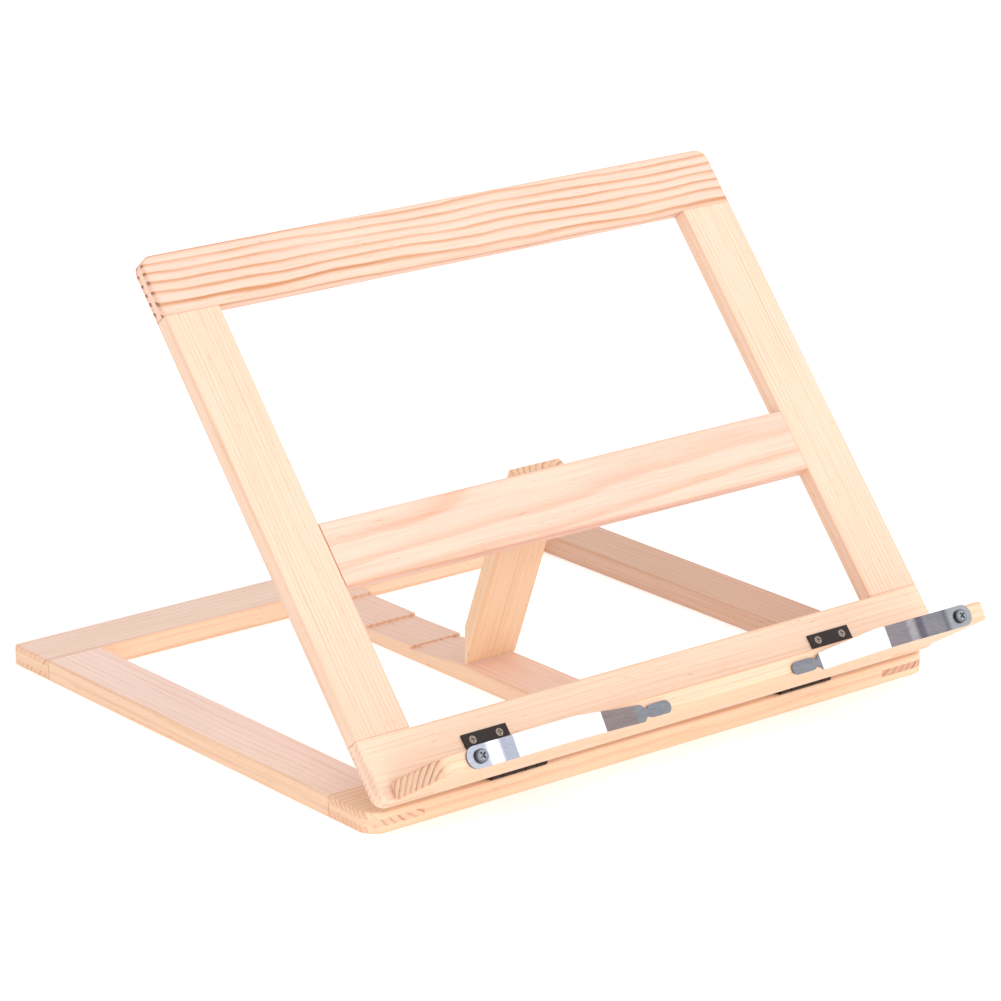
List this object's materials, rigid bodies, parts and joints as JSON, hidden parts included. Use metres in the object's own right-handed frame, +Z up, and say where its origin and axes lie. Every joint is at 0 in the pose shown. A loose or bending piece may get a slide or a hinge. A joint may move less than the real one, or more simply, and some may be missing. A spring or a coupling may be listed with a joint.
{
  "type": "book display stand",
  "caption": "Folding pine book display stand with a notched base frame, a tilting panel, a prop leg, a page ledge and two swinging spring-steel page clips.",
  "frame": {"origin": "centre of the underside of the base frame", "axes": "+X to the reader's right, +Y to the rear, +Z up"},
  "size_m": [0.335, 0.3318, 0.2251],
  "materials": {
    "pine": "pale unfinished pine, sanded, straight and cathedral grain",
    "hinge_black": "black-brown coated steel",
    "pin_black": "blackened steel pin",
    "screw_black": "blackened cross-head screws",
    "spring_steel": "bright polished spring steel",
    "screw_steel": "plated steel pan-head screws"
  },
  "bodies": {
    "base": {"base_front_rail": "pine", "base_hinge_left_lower_leaf": "hinge_black", "base_hinge_left_pin": "pin_black", "base_hinge_lower_screws": "screw_black", "base_hinge_right_lower_leaf": "hinge_black", "base_hinge_right_pin": "pin_black", "base_left_rail": "pine", "base_rear_rail": "pine", "base_right_rail": "pine", "notched_centre_rail": "pine"},
    "panel": {"base_hinge_left_upper_leaf": "hinge_black", "base_hinge_right_upper_leaf": "hinge_black", "base_hinge_upper_screws": "screw_black", "ledge_hinge_left_panel_leaf": "hinge_black", "ledge_hinge_left_pin": "pin_black", "ledge_hinge_panel_screws": "screw_black", "ledge_hinge_right_panel_leaf": "hinge_black", "ledge_hinge_right_pin": "pin_black", "leg_hinge_pin": "pin_black", "leg_hinge_rail_leaf": "hinge_black", "leg_hinge_rail_screws": "screw_black", "panel_bottom_rail": "pine", "panel_left_stile": "pine", "panel_middle_rail": "pine", "panel_right_stile": "pine", "panel_top_rail": "pine"},
    "leg": {"leg_hinge_leg_leaf": "hinge_black", "leg_hinge_leg_screws": "screw_black", "support_leg": "pine"},
    "ledge": {"ledge_board": "pine", "ledge_hinge_ledge_screws": "screw_black", "ledge_hinge_left_ledge_leaf": "hinge_black", "ledge_hinge_right_ledge_leaf": "hinge_black", "page_clip_screw_left": "screw_steel", "page_clip_screw_right": "screw_steel"},
    "clip_left": {"page_clip_left": "spring_steel"},
    "clip_right": {"page_clip_right": "spring_steel"}
  },
  "joints": [
    {"name": "panel_tilt", "type": "hinge", "parent": "base", "child": "panel", "pos_m": [0, -0.142, 0.0127], "axis": [1, 0, 0], "range_deg": [-49.5, 0]},
    {"name": "leg_fold", "type": "hinge", "parent": "panel", "child": "leg", "pos_m": [0, -0.05751, 0.11163], "axis": [1, 0, 0], "range_deg": [0, 120.5]},
    {"name": "ledge_fold", "type": "hinge", "parent": "panel", "child": "ledge", "pos_m": [0, -0.14568, 0.02794], "axis": [-1, 0, 0], "range_deg": [0, 98.6]},
    {"name": "clip_left_turn", "type": "hinge", "parent": "ledge", "child": "clip_left", "pos_m": [-0.1423, -0.18562, 0.04515], "axis": [0, -0.849, 0.5284], "range_deg": [0, 180]},
    {"name": "clip_right_turn", "type": "hinge", "parent": "ledge", "child": "clip_right", "pos_m": [0.1423, -0.18562, 0.04515], "axis": [0, 0.849, -0.5284], "range_deg": [0, 180]}
  ],
  "couplings": [
    {"joint": "leg_fold", "follows": "panel_tilt", "ratio": -2.4328}
  ]
}
